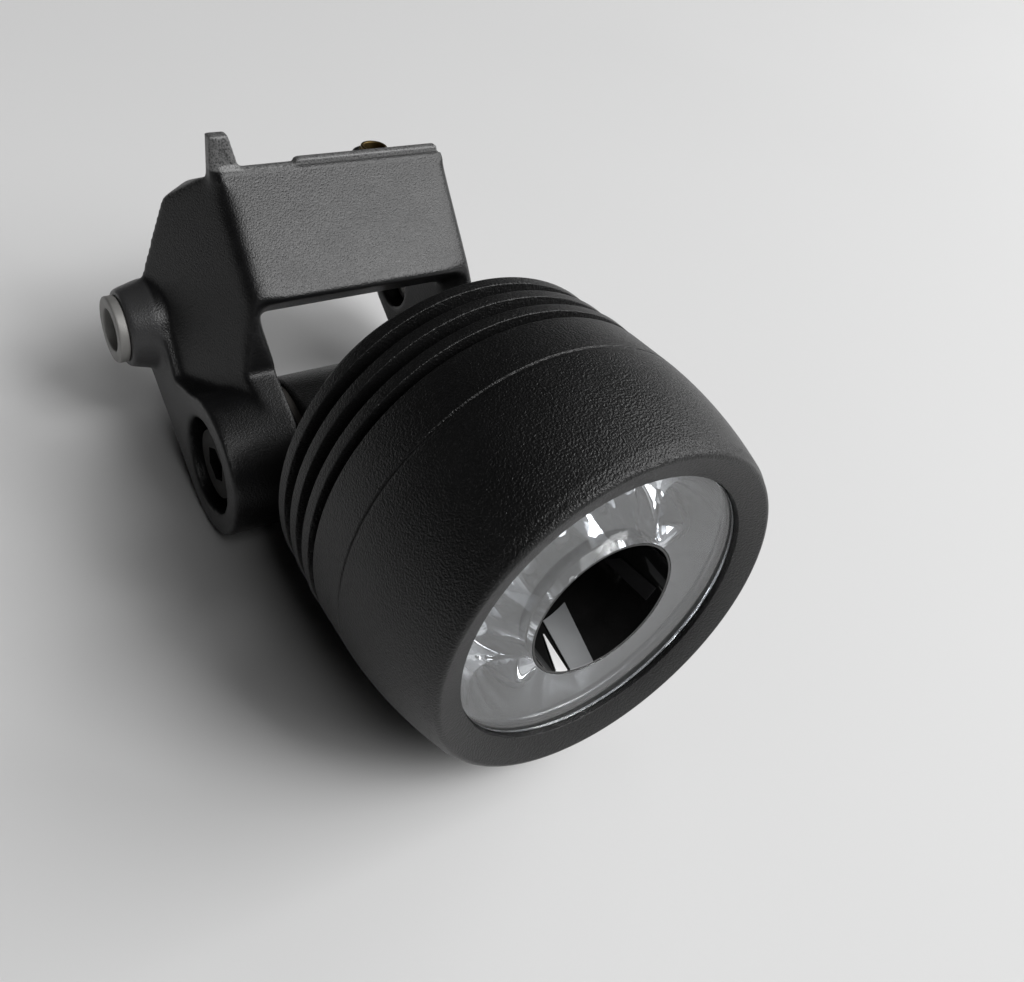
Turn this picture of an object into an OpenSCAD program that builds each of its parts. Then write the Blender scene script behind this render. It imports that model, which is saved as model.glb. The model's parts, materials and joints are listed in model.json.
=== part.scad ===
// Round bicycle headlight on a forked handlebar bracket.
// +Z is up, the beam points along -Y, and X runs across the bicycle.
// The origin is the middle of the bolt axis that carries the bracket.

/* [Head] */
// Distance from the bolt axis to the front face of the lamp
reach = 67.2; // [66:0.2:74]
// Height of the beam axis above the bolt axis
beam_rise = 1.3; // [0:0.1:2]
// Radius of the body at the seam between bezel and housing
body_r = 22.3; // [22:0.1:24]
// How much smaller in radius the flat front face is than the body
shoulder = 2.3; // [1.5:0.1:2.9]
// Depth of the front bezel, from its face to the seam
bezel_depth = 14.2; // [13.8:0.1:16]
// Depth of the smooth band between the seam and the first groove
band_depth = 5.6; // [4:0.1:8]
// Width of the first cooling groove
first_groove_w = 1.3; // [0.8:0.1:2]
// Width of each later cooling groove
groove_w = 2; // [1.2:0.1:2.6]
// Width of each cooling rib
rib_w = 1.35; // [0.8:0.05:2]
// Number of cooling ribs
rib_count = 3; // [2:1:4]
// How much smaller in radius each rib is than the one before it
rib_fall = 0.3; // [0:0.05:0.5]
// Depth of the cooling grooves
groove_depth = 2.2; // [1:0.1:2.4]
// Length of the plain end behind the last rib
tail_depth = 4.5; // [4:0.1:8]
// How much smaller in radius the plain end is than the body
tail_step = 3.7; // [3:0.1:4.7]
// Thickness of the housing's back wall
back_wall = 2.5; // [1.5:0.1:3]

/* [Optics] */
// Width of the front face from its edge to the round window
face_w = 3.4; // [2.8:0.1:3.8]
// How deep the front face's shallow funnel is at the window
face_dish = 1.05; // [0.6:0.05:1.3]
// Depth of the lens front behind the bezel face
lens_set = 1.67; // [1:0.01:1.9]
// Depth of the rear of the bezel's lip
lip_depth = 2; // [2:0.1:2.5]
// Radius of the hole in the middle of the lens
lens_hole_r = 8.36; // [7:0.02:9]
// How far the lens flange reaches beyond the window
flange_w = 1.6; // [1.2:0.1:1.8]
// Thickness of the lens flange
lens_flange_t = 2; // [1.5:0.1:2.5]
// Radius of the lens at its rear end
lens_tail_r = 12.5; // [11:0.1:14]
// How far the rear end of the lens reaches behind the seam
lens_tail_l = 0.8; // [0:0.1:1.2]
// Thickness of the lens gasket
gasket_t = 0.6; // [0.4:0.1:1]
// Thickness of the ring that holds the lens
retainer_t = 1.8; // [1.2:0.1:2.4]
// Wall of the black tube in the middle of the lens
core_wall = 0.8; // [0.6:0.1:1.2]
// Number of light-emitting diodes
led_count = 6; // [3:1:7]
// Side of one diode package
led_side = 3.4; // [2.5:0.1:4]
// Height of one diode package
led_h = 0.8; // [0.5:0.1:1]

/* [Electronics] */
// Thickness of the diode board
led_board_t = 1.6; // [1:0.1:2]
// Thickness of the aluminium heat spreader
spreader_t = 2.5; // [2:0.1:3]
// Thickness of the driver board
driver_board_t = 1.4; // [1:0.1:1.6]
// Number of screws that hold each board
screw_count = 3; // [2:1:4]
// Clear height between the heat spreader and the driver board
driver_room = 4.5; // [4.2:0.1:5]
// Height of the driver's coil
coil_h = 3.8; // [2:0.1:4]
// Radius of the driver's coil
coil_r = 3.6; // [2.5:0.1:4]
// Radius of each capacitor
capacitor_r = 1.9; // [1.2:0.1:2.2]
// Height of each capacitor
capacitor_h = 3.6; // [2:0.1:4]

/* [Bracket] */
// Overall width of the fork across its flat sides
fork_w = 44; // [43:0.5:48]
// Clear width between the two arms
fork_gap = 25; // [22:0.5:26]
// Radius of the pivot barrel
barrel_r = 8.65; // [8:0.05:10]
// Distance of the tilt pivot in front of the bolt axis
pivot_reach = 18.8; // [18:0.1:21]
// Distance of the tilt pivot below the bolt axis
pivot_drop = 8.8; // [8:0.1:10]
// Radius of the open recess in each end of the barrel
recess_r = 5.92; // [5.4:0.02:6.4]
// Depth of the open recess in each end of the barrel
recess_depth = 7; // [6:0.1:7.5]
// Radius of the rounded rear end of each arm
ear_r = 5.6; // [5.2:0.1:7]
// Length of the round boss that stands out from the left ear
boss_l = 3.3; // [2:0.1:5]
// Radius of the round boss at its outer end
boss_r = 4.7; // [4.5:0.1:5.2]
// Length of the sloping hood, from its foot to its top edge
hood_l = 15.1; // [13:0.1:17]
// Slope of the hood above the horizontal, in degrees
hood_angle = 48; // [42:1:54]
// Half width of the hood at its foot
hood_half_w = 14.4; // [13.5:0.1:15.5]
// Distance of the hood's foot in front of the bolt axis
hood_foot_reach = 15.9; // [15:0.1:17]
// Height of the hood's foot above the bolt axis
hood_foot_rise = 10; // [9.2:0.1:10.6]
// Wall of the hood
hood_wall = 2.6; // [2:0.1:3]
// Depth of the stiffening lip along the hood's foot
lip_reach = 5.5; // [4:0.1:6.5]
// Height of the stiffening lip
lip_h = 2.4; // [1.5:0.1:3]

/* [Tab and insert] */
// Height of the finger tab above the hood's top edge
tab_h = 4.1; // [2:0.1:6]
// Width of the finger tab at its foot
tab_foot_w = 3.4; // [2.8:0.1:5]
// Width of the finger tab at its top
tab_top_w = 2.2; // [1.8:0.1:2.8]
// Thickness of the finger tab
tab_t = 1.5; // [1.2:0.1:3]
// Radius of the brass insert in the top ledge
insert_r = 1.8; // [1.7:0.05:2.2]
// Radius of the threaded hole in the brass insert
insert_bore_r = 1.25; // [1:0.05:1.35]
// Length of the brass insert
insert_l = 4; // [3:0.1:5]

/* [Fasteners] */
// Radius of the pivot screw's shank
pivot_screw_r = 2.5; // [2:0.1:3]
// Radius of the pivot screw's head
pivot_head_r = 4.25; // [4:0.05:4.6]
// Height of the pivot screw's head
pivot_head_h = 5; // [3:0.1:5]
// Across-corners radius of the pivot nut
nut_r = 4.6; // [4.2:0.05:4.9]
// Height of the pivot nut
nut_h = 4; // [3:0.1:4.5]
// Outer radius of the pivot washers
washer_r = 5; // [4.7:0.1:5.2]
// Thickness of the pivot washers
washer_t = 0.8; // [0.5:0.1:1]
// Thickness of each friction ring between arm and head
friction_t = 0.8; // [0.5:0.1:1.2]
// Outer radius of the sleeve in the pivot bore
sleeve_r = 4; // [3.6:0.1:4.5]
// Radius of the bolt hole in each mounting bush
mount_bore_r = 2.6; // [2.5:0.05:2.8]
// Outer radius of each mounting bush
bush_r = 3.4; // [3.2:0.05:3.8]
// Radius of the collar of the left mounting bush
bush_collar_r = 4.1; // [3.9:0.05:4.5]
// Thickness of the collar of the left mounting bush
bush_collar_t = 1.2; // [0.8:0.1:2]
// Radius of the small board screws' shanks
board_screw_r = 0.95; // [0.8:0.05:1.1]
// Radius of the small board screws' heads
board_head_r = 1.6; // [1.4:0.05:1.65]
// Height of the small board screws' heads
board_head_h = 1; // [0.6:0.1:1.2]
// Length of the small board screws' shanks below the boards
board_screw_grip = 3; // [2:0.1:4]

/* [Cable inlet] */
// Radius of the cable hole in the rubber gland
gland_bore_r = 1.6; // [1:0.1:1.8]
// Radius of the gland where it passes the back wall
gland_r = 2.8; // [2.4:0.1:3.2]
// Radius of the gland's outer flange
gland_flange_r = 3.8; // [3.4:0.1:3.9]
// Thickness of each gland flange
gland_flange_t = 1.4; // [1:0.1:2]

/* [Hidden] */
$fn = 96;
// A cut runs past the face it leaves by this much
over = 0.5;
// Clearance between pieces that are screwed or pushed together
fit_gap = 0.05;
// Clearance round the lens and the boards
seat_gap = 0.15;
// Steps of a curved outline
curve_steps = 14;
// Air gap between the lens and the diodes, and turn of the diodes round the beam axis
led_air = 0.8;
led_turn = -10;
// Radius of the small round at the edge of the front face
face_edge_r = 0.7;
// Wall of the threaded spigot that the bezel screws on to
spigot_wall = 2;
// Length of the threaded spigot
spigot_l = 4.8;
// Radius of the seal ring's cord
seal_cord_r = 0.5;
// Distance of the seal ring in front of the seam
seal_from_seam = 1.6;
// Share of the lens tube's length that the black core takes
core_depth_share = 0.9;
// Width of the ledge that carries the heat spreader
spreader_ledge = 3.4;
// Width of the ledge that carries the driver board
driver_ledge = 2.6;
// Radius of the round at the housing's back edge
tail_round = 3.2;
// Power of the bezel's outside curve: 1 is a straight cone
bezel_curve = 2;
// How much smaller in radius the first rib is than the body
first_rib_drop = 0.2;
// Height of the neck's root above the bottom of the pivot barrel
neck_root_rise = 5.8;
// Size of the driver's screws as a share of the diode board's screws
driver_screw_share = 0.7;
// Gap between neighbouring parts on the driver board
part_gap = 0.5;
// Size of the coil's drum and thickness of its flanges, as shares of the coil
coil_drum_share = 0.8;
coil_flange_share = 0.2;
// Sides of the two chip packages
chip_side = 4.2;
chip_l = 5;
// Radius and pitch of the pins that link the two boards, and height of their bar
pin_r = 0.32;
pin_pitch = 2.54;
pin_bar_h = 1.6;
// Length of the gland's cone behind the housing
gland_tail_l = 2.8;
// How far the friction rings stay inside the edge of the barrel
ring_inset = 0.5;
// Gap between a moving face and the friction ring beside it
slide_gap = 0.05;
// Yaw and lean of the planes that shape each flank of the bracket
front_flank = [19.5, 16];
upper_flank = [0, 18.8];
corner_flank = [-39.3, 51.4];
// Yaw and lean of the chamfer inside the web below the hood's foot
web_chamfer = [-10.9, -15];
// Places where the flank planes pass, in from the fork's side, forward and up
upper_flank_in = 1.8;
upper_flank_rise = 1.4;
corner_in = 6.3;
corner_drop = 3.9;
// Start and rise of the arm's sloping upper face, and its turn where it meets the barrel
arm_top_back = 10;
arm_top_rise = 5.9;
arm_top_turn = 24.1;
// Foot of the web below the hood, back from the pivot and above the barrel's top
web_back = 1.5;
web_rise = 2;
// Waist of the arm's flat side between barrel and ear, and where it leaves the ear
waist_back = 8.8;
waist_drop = 2.7;
waist_turn = 33;
// Depth and slope of the ledge behind the hood's top edge
top_l = 8.5;
top_angle = 27;
// Height, length and width of the raised stop on the top ledge
stop_h = 0.9;
stop_l = 19;
stop_w = 1.2;
// Height of the low rim beside the stop, and its distance from the hood's corner
rim_h = 0.35;
rim_inset = 0.5;
// Distance of the tab behind the hood's top edge
tab_set = 0.5;
// Outer edge of the tab beyond the hood's half width
tab_out = 0.9;
// Place of the brass insert on the top ledge
insert_x = 6.6;
insert_back = 3;
insert_boss_wall = 0.9;
insert_stand = 0.25;
insert_boss_drop = 0.6;
// Radius and depth of the pin socket in the pivot screw's head
hex_r = 2.3;
hex_depth = 2.5;

pivot_y = -pivot_reach;
pivot_z = -pivot_drop;

// Depths below are measured back from the bezel's face
lens_tail_depth = bezel_depth + lens_tail_l;
housing_end = bezel_depth + band_depth + first_groove_w
    + (rib_count - 1) * groove_w + rib_count * rib_w;
back_depth = housing_end + tail_depth;
cavity_end = back_depth - back_wall;
face_r = body_r - shoulder;
tail_r = body_r - tail_step;
aperture_r = face_r - face_w;
lens_flange_r = aperture_r + flange_w;
flange_front = lip_depth + gasket_t;
flange_back = flange_front + lens_flange_t;
retainer_back = flange_back + retainer_t;
bezel_bore_r = lens_flange_r + seat_gap;
cavity_r = lens_flange_r;
spigot_r = cavity_r + spigot_wall;
spigot_front = bezel_depth - spigot_l;
lens_r = aperture_r - 2 * fit_gap;
core_r = lens_hole_r - seat_gap;
core_back = lens_set + core_depth_share * (lens_tail_depth - lens_set);
led_front = lens_tail_depth + led_air;
led_board_front = led_front + led_h;
spreader_front = led_board_front + led_board_t;
spreader_back = spreader_front + spreader_t;
driver_front = spreader_back + driver_room;
driver_back = driver_front + driver_board_t;
board_r = cavity_r - 2 * seat_gap;
mid_cavity_r = cavity_r - spreader_ledge;
driver_r = mid_cavity_r - 2 * seat_gap;
rear_cavity_r = mid_cavity_r - driver_ledge;
led_ring_r = (lens_hole_r + lens_tail_r) / 2 + led_h;
board_screw_ring_r = cavity_r - board_head_r - seat_gap;
driver_screw_ring_r = (rear_cavity_r + mid_cavity_r) / 2 - seat_gap;
driver_screw_r = driver_screw_share * board_screw_r;
driver_head_r = driver_screw_share * board_head_r;
pin_ring_y = rear_cavity_r / 2;
// The gland stands just clear of the top of the neck
gland_rise = pivot_z + barrel_r + gland_flange_r + seat_gap - beam_rise;

// Half widths along the pivot axis, from the middle outwards
half_gap = fork_gap / 2;
half_fork = fork_w / 2;
lug_half = half_gap - friction_t - slide_gap;
recess_floor = half_fork - recess_depth;
ear_end = half_fork + boss_l;
bush_end = ear_end + bush_collar_t;

// Places children in the head, with local +Z running back from the face
module in_head(depth = 0) {
    translate([0, depth - reach, beam_rise]) rotate([-90, 0, 0]) children();
}

// A flat ring in the head
module head_ring(outer_r, inner_r, front, back) {
    in_head(front) difference() {
        cylinder(r = outer_r, h = back - front);
        translate([0, 0, -over]) cylinder(r = inner_r, h = back - front + 2 * over);
    }
}

// Repeats children round the beam axis, starting at a given angle
module round_about(count, start = 0) {
    for (i = [0 : count - 1]) rotate([0, 0, start + i * 360 / count]) children();
}

// Turns children so that local +Z runs along +X
module along_x(x = 0) {
    translate([x, 0, 0]) rotate([0, 90, 0]) children();
}

// Places children at the tilt pivot
module at_pivot() {
    translate([0, pivot_y, pivot_z]) children();
}

// Repeats children on both sides of the bracket
module both_sides() {
    children();
    mirror([1, 0, 0]) children();
}

// Stands a drawing of Y and Z up and gives it a thickness from x0 to x1
module side_plate(x0, x1) {
    translate([x0, 0, 0]) rotate([90, 0, 90]) linear_extrude(height = x1 - x0) children();
}

// Radius of the bezel's outside at a share t of its depth
function bezel_r(t) = body_r - shoulder * pow(1 - t, bezel_curve);

// Radius of rib number i
function rib_r(i) = body_r - first_rib_drop - i * rib_fall;

// Depth of the front edge of groove number i
function groove_front(i) = bezel_depth + band_depth
    + (i == 0 ? 0 : first_groove_w + rib_w + (i - 1) * (groove_w + rib_w));

module front_bezel() {
    outside = [for (i = [1 : curve_steps]) let (t = i / curve_steps) [bezel_r(t), t * bezel_depth]];
    edge = [for (a = [0 : 15 : 90])
        [face_r - face_edge_r * (1 - sin(a)), face_edge_r * (1 - cos(a))]];
    color([0.10, 0.10, 0.11]) in_head() rotate_extrude() polygon(concat(
        [[aperture_r, face_dish]], edge, outside,
        [[spigot_r + fit_gap, bezel_depth], [spigot_r + fit_gap, spigot_front - fit_gap],
         [bezel_bore_r, spigot_front - fit_gap], [bezel_bore_r, lip_depth],
         [aperture_r, lip_depth]]));
}

// Neck and barrel that join the housing to the tilt pivot
module pivot_lug() {
    neck_root_y = back_depth - reach - back_wall / 2;
    neck_foot_z = pivot_z - barrel_r + neck_root_rise;
    side_plate(-lug_half, lug_half) {
        translate([pivot_y, pivot_z]) circle(r = barrel_r);
        polygon([[neck_root_y, pivot_z + barrel_r], [pivot_y, pivot_z + barrel_r],
                 [pivot_y, pivot_z - barrel_r], [neck_root_y, neck_foot_z]]);
    }
}

module rear_housing() {
    round_off = [for (a = [0 : 15 : 90])
        [tail_r - tail_round * (1 - cos(a)), back_depth - tail_round * (1 - sin(a))]];
    color([0.09, 0.09, 0.10]) difference() {
        union() {
            in_head() difference() {
                rotate_extrude() polygon(concat(
                    [[0, spigot_front], [spigot_r, spigot_front], [spigot_r, bezel_depth],
                     [body_r, bezel_depth], [rib_r(0), groove_front(1)],
                     [rib_r(rib_count - 1), housing_end], [tail_r, housing_end]],
                    round_off, [[0, back_depth]]));
                for (i = [0 : rib_count - 1]) groove(i);
            }
            pivot_lug();
        }
        housing_hollow();
        at_pivot() along_x(-lug_half - over)
            cylinder(r = sleeve_r + fit_gap, h = 2 * (lug_half + over));
    }
}

// One cooling groove, as the ring of space that it leaves
module groove(i) {
    wide = i == 0 ? first_groove_w : groove_w;
    translate([0, 0, groove_front(i)]) difference() {
        cylinder(r = body_r + over, h = wide);
        translate([0, 0, -over]) cylinder(r = rib_r(i) - groove_depth, h = wide + 2 * over);
    }
}

// The stepped room inside the housing, with its screw holes and cable hole
module housing_hollow() {
    in_head() {
        translate([0, 0, spigot_front - over])
            cylinder(r = cavity_r, h = spreader_back - spigot_front + over);
        translate([0, 0, spreader_back - over])
            cylinder(r = mid_cavity_r, h = driver_back - spreader_back + over);
        translate([0, 0, driver_back - over])
            cylinder(r = rear_cavity_r, h = cavity_end - driver_back + over);
        translate([0, -gland_rise, cavity_end - over])
            cylinder(r = gland_r + fit_gap, h = back_wall + 2 * over);
        round_about(screw_count, 30) translate([board_screw_ring_r, 0, spreader_back - over])
            cylinder(r = board_screw_r + fit_gap, h = board_screw_grip + 2 * over);
        round_about(screw_count, 90) translate([driver_screw_ring_r, 0, driver_back - over])
            cylinder(r = driver_screw_r + fit_gap, h = board_screw_grip + 2 * over);
        translate([0, 0, bezel_depth - seal_from_seam - seal_cord_r]) difference() {
            cylinder(r = spigot_r + over, h = 2 * seal_cord_r);
            translate([0, 0, -over])
                cylinder(r = spigot_r - 2 * seal_cord_r, h = 2 * seal_cord_r + 2 * over);
        }
    }
}

module lens() {
    color([0.85, 0.90, 0.95, 0.5]) in_head() rotate_extrude() polygon([
        [lens_hole_r, lens_set], [lens_r, lens_set], [lens_r, flange_front],
        [lens_flange_r, flange_front], [lens_flange_r, flange_back],
        [lens_r, flange_back], [lens_tail_r, lens_tail_depth], [lens_hole_r, lens_tail_depth]]);
}

module lens_gasket() {
    color([0.04, 0.04, 0.04]) head_ring(lens_flange_r, lens_r + fit_gap, lip_depth, flange_front);
}

module lens_retainer() {
    color([0.08, 0.08, 0.08])
        head_ring(bezel_bore_r - fit_gap, lens_r + fit_gap, flange_back, retainer_back);
}

// Black cup that fills the hole in the lens
module core_tube() {
    core_front = lens_set + core_wall;
    color([0.03, 0.03, 0.03]) in_head() difference() {
        union() {
            translate([0, 0, core_front]) cylinder(r = core_r, h = core_back - core_front);
            translate([0, 0, core_back - over])
                cylinder(r = core_r / 2, h = led_board_front - core_back + over);
        }
        translate([0, 0, core_front - over])
            cylinder(r = core_r - core_wall, h = core_back - core_wall - core_front + over);
    }
}

module seam_seal() {
    color([0.05, 0.05, 0.05]) in_head(bezel_depth - seal_from_seam) rotate_extrude()
        translate([spigot_r - seal_cord_r, 0]) circle(r = seal_cord_r - fit_gap / 2, $fn = 24);
}

module led_chips() {
    color([0.95, 0.85, 0.35]) in_head(led_front) round_about(led_count, led_turn)
        translate([led_ring_r - led_side / 2, -led_side / 2, 0]) cube([led_side, led_side, led_h]);
}

// The holes that the link pins pass in both boards
module pin_holes(depth) {
    for (side = [-1, 1]) translate([side * pin_pitch / 2, pin_ring_y, -over])
        cylinder(r = pin_r + fit_gap, h = depth + 2 * over, $fn = 24);
}

module led_board() {
    color([0.90, 0.90, 0.88]) in_head(led_board_front) difference() {
        cylinder(r = board_r, h = led_board_t);
        round_about(screw_count, 30) translate([board_screw_ring_r, 0, -over])
            cylinder(r = board_screw_r + seat_gap, h = led_board_t + 2 * over);
        pin_holes(led_board_t);
    }
}

module heat_spreader() {
    color([0.75, 0.76, 0.78]) in_head(spreader_front) difference() {
        cylinder(r = board_r, h = spreader_t);
        round_about(screw_count, 30) translate([board_screw_ring_r, 0, -over])
            cylinder(r = board_screw_r + seat_gap, h = spreader_t + 2 * over);
        translate([0, pin_ring_y, -over])
            cylinder(r = pin_pitch, h = spreader_t + 2 * over);
    }
}

// One pan head screw, with its head standing in front of local zero
module small_screw(shank_r, head_r, grip) {
    difference() {
        union() {
            translate([0, 0, -board_head_h]) cylinder(r = head_r, h = board_head_h);
            translate([0, 0, -fit_gap]) cylinder(r = shank_r, h = grip + fit_gap);
        }
        translate([0, 0, -board_head_h - over])
            cylinder(r = head_r / 2, h = board_head_h / 2 + over, $fn = 6);
    }
}

module board_screws() {
    grip = led_board_t + spreader_t + board_screw_grip;
    color([0.70, 0.70, 0.72]) in_head(led_board_front) round_about(screw_count, 30)
        translate([board_screw_ring_r, 0, 0]) small_screw(board_screw_r, board_head_r, grip);
}

module driver_board() {
    color([0.05, 0.30, 0.15]) in_head(driver_front) difference() {
        cylinder(r = driver_r, h = driver_board_t);
        round_about(screw_count, 90) translate([driver_screw_ring_r, 0, -over])
            cylinder(r = driver_screw_r + seat_gap, h = driver_board_t + 2 * over);
        pin_holes(driver_board_t);
    }
}

module driver_screws() {
    grip = driver_board_t + board_screw_grip;
    color([0.70, 0.70, 0.72]) in_head(driver_front) round_about(screw_count, 90)
        translate([driver_screw_ring_r, 0, 0]) small_screw(driver_screw_r, driver_head_r, grip);
}

// Drum coil: two flanges with the winding between them
module driver_coil() {
    flange_t = coil_flange_share * coil_h;
    color([0.15, 0.15, 0.16]) in_head(driver_front - coil_h) translate([-coil_r - part_gap, 0, 0]) {
        cylinder(r = coil_r, h = flange_t);
        cylinder(r = coil_drum_share * coil_r, h = coil_h);
        translate([0, 0, coil_h - flange_t]) cylinder(r = coil_r, h = flange_t);
    }
}

module driver_capacitors() {
    spread = 2 * capacitor_r + part_gap;
    color([0.72, 0.73, 0.75]) in_head(driver_front - capacitor_h)
        for (i = [0 : 1]) translate([spread, -i * spread - part_gap, 0])
            cylinder(r = capacitor_r, h = capacitor_h);
}

// Flat chip packages on the rear of the driver board
module driver_chips() {
    color([0.06, 0.06, 0.07]) in_head(driver_back) translate([0, -chip_side / 2, 0]) {
        translate([-chip_side - part_gap, 0, 0]) cube([chip_side, chip_side, led_h]);
        translate([part_gap, 0, 0]) cube([chip_l, chip_side, led_h]);
    }
}

module link_pins() {
    color([0.85, 0.70, 0.30]) in_head(led_board_front) {
        for (side = [-1, 1]) translate([side * pin_pitch / 2, pin_ring_y, 0])
            cylinder(r = pin_r, h = driver_back - led_board_front, $fn = 24);
        translate([-pin_pitch, pin_ring_y - pin_pitch / 2, driver_front - led_board_front - pin_bar_h])
            cube([2 * pin_pitch, pin_pitch, pin_bar_h]);
    }
}

module cable_gland() {
    color([0.06, 0.06, 0.06]) in_head() translate([0, -gland_rise, 0]) difference() {
        union() {
            translate([0, 0, cavity_end - gland_flange_t])
                cylinder(r = gland_flange_r, h = gland_flange_t);
            translate([0, 0, cavity_end - fit_gap]) cylinder(r = gland_r, h = back_wall + 2 * fit_gap);
            translate([0, 0, back_depth])
                cylinder(r1 = gland_flange_r, r2 = gland_r, h = gland_tail_l);
        }
        translate([0, 0, cavity_end - gland_flange_t - over])
            cylinder(r = gland_bore_r, h = gland_flange_t + back_wall + gland_tail_l + 2 * over);
    }
}

module pivot_sleeve() {
    color([0.72, 0.73, 0.75]) at_pivot() along_x(-lug_half) difference() {
        cylinder(r = sleeve_r, h = 2 * lug_half);
        translate([0, 0, -over])
            cylinder(r = pivot_screw_r + fit_gap, h = 2 * (lug_half + over));
    }
}

module friction_rings() {
    color([0.20, 0.20, 0.20]) both_sides() at_pivot() along_x(-half_gap) difference() {
        cylinder(r = barrel_r - ring_inset, h = friction_t);
        translate([0, 0, -over])
            cylinder(r = pivot_screw_r + seat_gap, h = friction_t + 2 * over);
    }
}

// The head lies in the left recess and the nut in the right one
module pivot_screw() {
    seat_x = recess_floor + washer_t;
    color([0.55, 0.56, 0.58]) at_pivot() along_x(-seat_x - pivot_head_h) difference() {
        union() {
            cylinder(r = pivot_head_r, h = pivot_head_h);
            cylinder(r = pivot_screw_r, h = pivot_head_h + 2 * seat_x + nut_h);
        }
        translate([0, 0, -over]) cylinder(r = hex_r, h = hex_depth + over, $fn = 6);
    }
}

module pivot_nut() {
    color([0.55, 0.56, 0.58]) at_pivot() along_x(recess_floor + washer_t) difference() {
        cylinder(r = nut_r, h = nut_h, $fn = 6);
        translate([0, 0, -over]) cylinder(r = pivot_screw_r + fit_gap, h = nut_h + 2 * over);
    }
}

module pivot_washers() {
    color([0.65, 0.66, 0.68]) both_sides() at_pivot() along_x(recess_floor) difference() {
        cylinder(r = washer_r, h = washer_t);
        translate([0, 0, -over])
            cylinder(r = pivot_screw_r + seat_gap, h = washer_t + 2 * over);
    }
}

// A point of the hood's side view, along the hood and inwards from its face
function hood_point(along, inwards) = [
    -hood_foot_reach + along * cos(hood_angle) + inwards * sin(hood_angle),
    hood_foot_rise + along * sin(hood_angle) - inwards * cos(hood_angle)];

// A point of the sloping top, back from the hood's top edge and downwards
function top_point(back, down) = hood_point(hood_l, 0)
    + [back * cos(top_angle) - down * sin(top_angle),
       -back * sin(top_angle) - down * cos(top_angle)];

// Direction from the middle of barrel and ear to the line that touches both from below
function low_tangent() = let (
    span = norm([pivot_reach, pivot_drop]),
    lean = atan2(pivot_drop, pivot_reach) - acos((barrel_r - ear_r) / span))
    [cos(lean), sin(lean)];

// Side view of the arm below the hood, from the pivot to the ear
module low_arm_outline() {
    polygon([[pivot_y, pivot_z], [pivot_y, pivot_z] + barrel_r * low_tangent(),
             ear_r * low_tangent(), [ear_r, 0], [0, ear_r], [-arm_top_back, arm_top_rise],
             [pivot_y - barrel_r * sin(arm_top_turn), pivot_z + barrel_r * cos(arm_top_turn)]]);
}

// Side view of the arm's flat outer side, with its waist between barrel and ear
module side_outline() {
    polygon([[pivot_y, pivot_z], [pivot_y, pivot_z] + barrel_r * low_tangent(),
             ear_r * low_tangent(), [0, 0],
             (ear_r - 2 * seat_gap) * [-cos(waist_turn), sin(waist_turn)],
             [-waist_back, -waist_drop], [pivot_y, pivot_z + barrel_r - seat_gap]]);
}

// Side view of the web that carries each flank on from the hood's foot to the arm
module web_outline() {
    polygon([hood_point(0, 0), [pivot_y + web_back, pivot_z + barrel_r + web_rise],
             [-arm_top_back, 0], [-arm_top_back, arm_top_rise], hood_point(0, lip_reach)]);
}

// Side view of the arm's upper part, behind the hood's face
module high_arm_outline() {
    polygon([hood_point(0, 0), hood_point(hood_l, 0), top_point(top_l, 0),
             [top_point(top_l, 0)[0], 0], [-arm_top_back, 0], hood_point(0, lip_reach)]);
}

// Side view of the hood between the arms: face, lip and top
module hood_outline() {
    polygon([hood_point(0, 0), hood_point(hood_l, 0), top_point(top_l, 0),
             top_point(top_l, hood_wall), top_point(hood_wall, hood_wall),
             hood_point(lip_h, hood_wall), hood_point(lip_h, lip_reach),
             hood_point(0, lip_reach)]);
}

// The space outside a flank plane that passes through a given point
module outside_flank(point, turn) {
    block = 4 * half_fork;
    translate(point) rotate([0, turn[1], turn[0]]) translate([-block, -block / 2, -block / 2])
        cube(block);
}

module left_arm() {
    rear_y = top_point(top_l, 0)[0];
    foot_corner = [-hood_half_w, -hood_foot_reach, hood_foot_rise];
    difference() {
        union() {
            side_plate(-half_fork, -half_gap) {
                high_arm_outline();
                low_arm_outline();
            }
            difference() {
                side_plate(-half_fork, -half_gap) web_outline();
                mirror([1, 0, 0]) outside_flank([-foot_corner[0], foot_corner[1], foot_corner[2]],
                    -web_chamfer);
            }
        }
        outside_flank(foot_corner, front_flank);
        outside_flank([upper_flank_in - half_fork, rear_y, hood_foot_rise + upper_flank_rise],
            upper_flank);
        outside_flank([corner_in - half_fork, rear_y, hood_point(hood_l, 0)[1] - corner_drop],
            corner_flank);
    }
    side_plate(-half_fork, -half_gap) side_outline();
    at_pivot() along_x(-half_fork) cylinder(r = barrel_r, h = half_fork - half_gap);
    along_x(-half_fork) cylinder(r = ear_r, h = half_fork - half_gap);
}

// Raised stop, low rim and tab along the hood's top edge
module top_features() {
    rim_y = hood_point(hood_l, 0)[0];
    rim_z = hood_point(hood_l, 0)[1];
    foot_z = rim_z - hood_wall;
    rim_end = hood_half_w - rim_inset;
    translate([-hood_half_w, rim_y, foot_z])
        cube([hood_half_w + rim_end, stop_w, hood_wall + rim_h]);
    translate([rim_end - stop_l, rim_y, foot_z]) cube([stop_l, stop_w, hood_wall + stop_h]);
    tab_x = -hood_half_w - tab_out;
    translate([0, rim_y + tab_t + tab_set, 0]) rotate([90, 0, 0]) linear_extrude(height = tab_t)
        polygon([[tab_x, foot_z - hood_wall], [tab_x, rim_z + tab_h],
                 [tab_x + tab_top_w, rim_z + tab_h], [tab_x + tab_foot_w, rim_z + rim_h],
                 [tab_x + tab_foot_w, foot_z - hood_wall]]);
}

// Top of the brass insert
function insert_top() = hood_point(hood_l, 0)[1] + insert_stand;

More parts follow.
